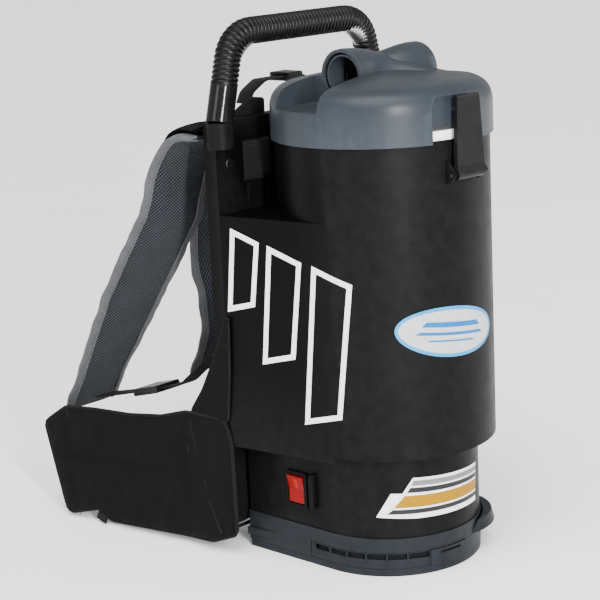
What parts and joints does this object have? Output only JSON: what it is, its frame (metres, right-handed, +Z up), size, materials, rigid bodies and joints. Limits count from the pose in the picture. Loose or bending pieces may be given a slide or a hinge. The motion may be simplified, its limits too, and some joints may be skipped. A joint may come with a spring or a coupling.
{
  "type": "backpack vacuum cleaner",
  "caption": "Backpack vacuum cleaner: round dust canister with a domed latch-down lid, motor base, back plate, tube carry handle and padded harness.",
  "frame": {"origin": "on the canister's axis in the flat face of the foot plate that the cleaner stands on", "axes": "+Z up along the canister's axis, +Y towards the wearer's side with the harness, so the canister's front faces -Y, +X to the wearer's right"},
  "size_m": [0.3248, 0.4932, 0.5507],
  "materials": {
    "body_black": "satin black moulded shell",
    "casing_grey": "fine-grained slate grey moulding",
    "latch_black": "satin",
    "filter_white": "smooth off-white",
    "filter_cloth": "felted filter cloth",
    "filter_foam": "open-cell foam",
    "seal_rubber": "soft matt rubber",
    "handle_gloss": "glossy black cover",
    "grip_ribbed": "ribbed grip",
    "steel": "machined",
    "aluminium": "spun and cast",
    "carbon": "graphite blocks",
    "rocker_red": "translucent red rocker",
    "strap_mesh": "open mesh lining with a grey binding",
    "pad_black": "woven black pack cloth",
    "webbing_black": "flat woven webbing",
    "buckle_black": "satin moulded"
  },
  "bodies": {
    "housing": {"acoustic_foam": "filter_foam", "adjuster_buckles": "buckle_black", "adjuster_webbing_left": "webbing_black", "adjuster_webbing_right": "webbing_black", "back_pad": "pad_black", "back_plate": "body_black", "base_ring": "casing_grey", "belt_buckles": "buckle_black", "bin_shell": "body_black", "carbon_brushes": "carbon", "exhaust_grille": "casing_grey", "fan_casing": "aluminium", "filter_bag": "filter_cloth", "filter_rim": "filter_white", "foot_plate": "casing_grey", "handle_grip": "grip_ribbed", "handle_legs": "handle_gloss", "handle_tube": "steel", "harness_bolts": "steel", "hip_gusset_left": "pad_black", "hip_gusset_right": "pad_black", "inlet_grille": "latch_black", "latch_brackets": "latch_black", "latch_pins": "steel", "lifter_buckle": "buckle_black", "lifter_strap": "webbing_black", "lifter_webbing_left": "webbing_black", "lifter_webbing_right": "webbing_black", "lumbar_pad": "pad_black", "motor_cradle": "latch_black", "motor_filter": "filter_foam", "motor_frame": "aluminium", "motor_housing": "body_black", "motor_mount_ring": "seal_rubber", "plate_screws": "steel", "power_inlet": "latch_black", "rubber_feet": "seal_rubber", "shaft_bearings": "steel", "shoulder_strap_left": "strap_mesh", "shoulder_strap_right": "strap_mesh", "stator_core": "steel", "strap_anchor_left": "webbing_black", "strap_anchor_right": "webbing_black", "switch_bezel": "latch_black", "switch_guard": "latch_black", "waist_belt_left": "pad_black", "waist_belt_right": "pad_black"},
    "lid": {"lid_shell": "casing_grey", "hose_socket": "casing_grey", "lid_gasket": "seal_rubber"},
    "front_latch": {"latch_lever_front": "latch_black"},
    "rear_latch": {"latch_lever_rear": "latch_black"},
    "rocker": {"switch_rocker": "rocker_red"},
    "rotor": {"motor_shaft": "steel", "armature": "steel", "fan_impeller": "aluminium"},
    "exhaust_drawer": {"exhaust_tray": "casing_grey", "exhaust_foam": "filter_foam"}
  },
  "joints": [
    {"name": "lid_lift", "type": "slide", "parent": "housing", "child": "lid", "axis": [0, 0, 1], "range_m": [0, 0.03]},
    {"name": "front_latch_hinge", "type": "hinge", "parent": "housing", "child": "front_latch", "pos_m": [-0.00587, -0.11205, 0.403], "axis": [0.9986, -0.0523, 0], "range_deg": [0, 75]},
    {"name": "rear_latch_hinge", "type": "hinge", "parent": "housing", "child": "rear_latch", "pos_m": [0, 0.1122, 0.403], "axis": [-1, 0, 0], "range_deg": [0, 75]},
    {"name": "rocker_tilt", "type": "hinge", "parent": "housing", "child": "rocker", "pos_m": [-0.09275, 0.05, 0.077], "axis": [0, 1, 0], "range_deg": [0, 13]},
    {"name": "motor_spin", "type": "hinge", "parent": "housing", "child": "rotor", "pos_m": [0, 0.006, 0.07], "axis": [0, 0, 1], "continuous": true},
    {"name": "exhaust_drawer_slide", "type": "slide", "parent": "housing", "child": "exhaust_drawer", "axis": [0, -1, 0], "range_m": [0, 0.09]}
  ],
  "couplings": [
    {"joint": "front_latch_hinge", "follows": "lid_lift", "rad_per_m": 43.5},
    {"joint": "rear_latch_hinge", "follows": "lid_lift", "rad_per_m": 43.5}
  ]
}
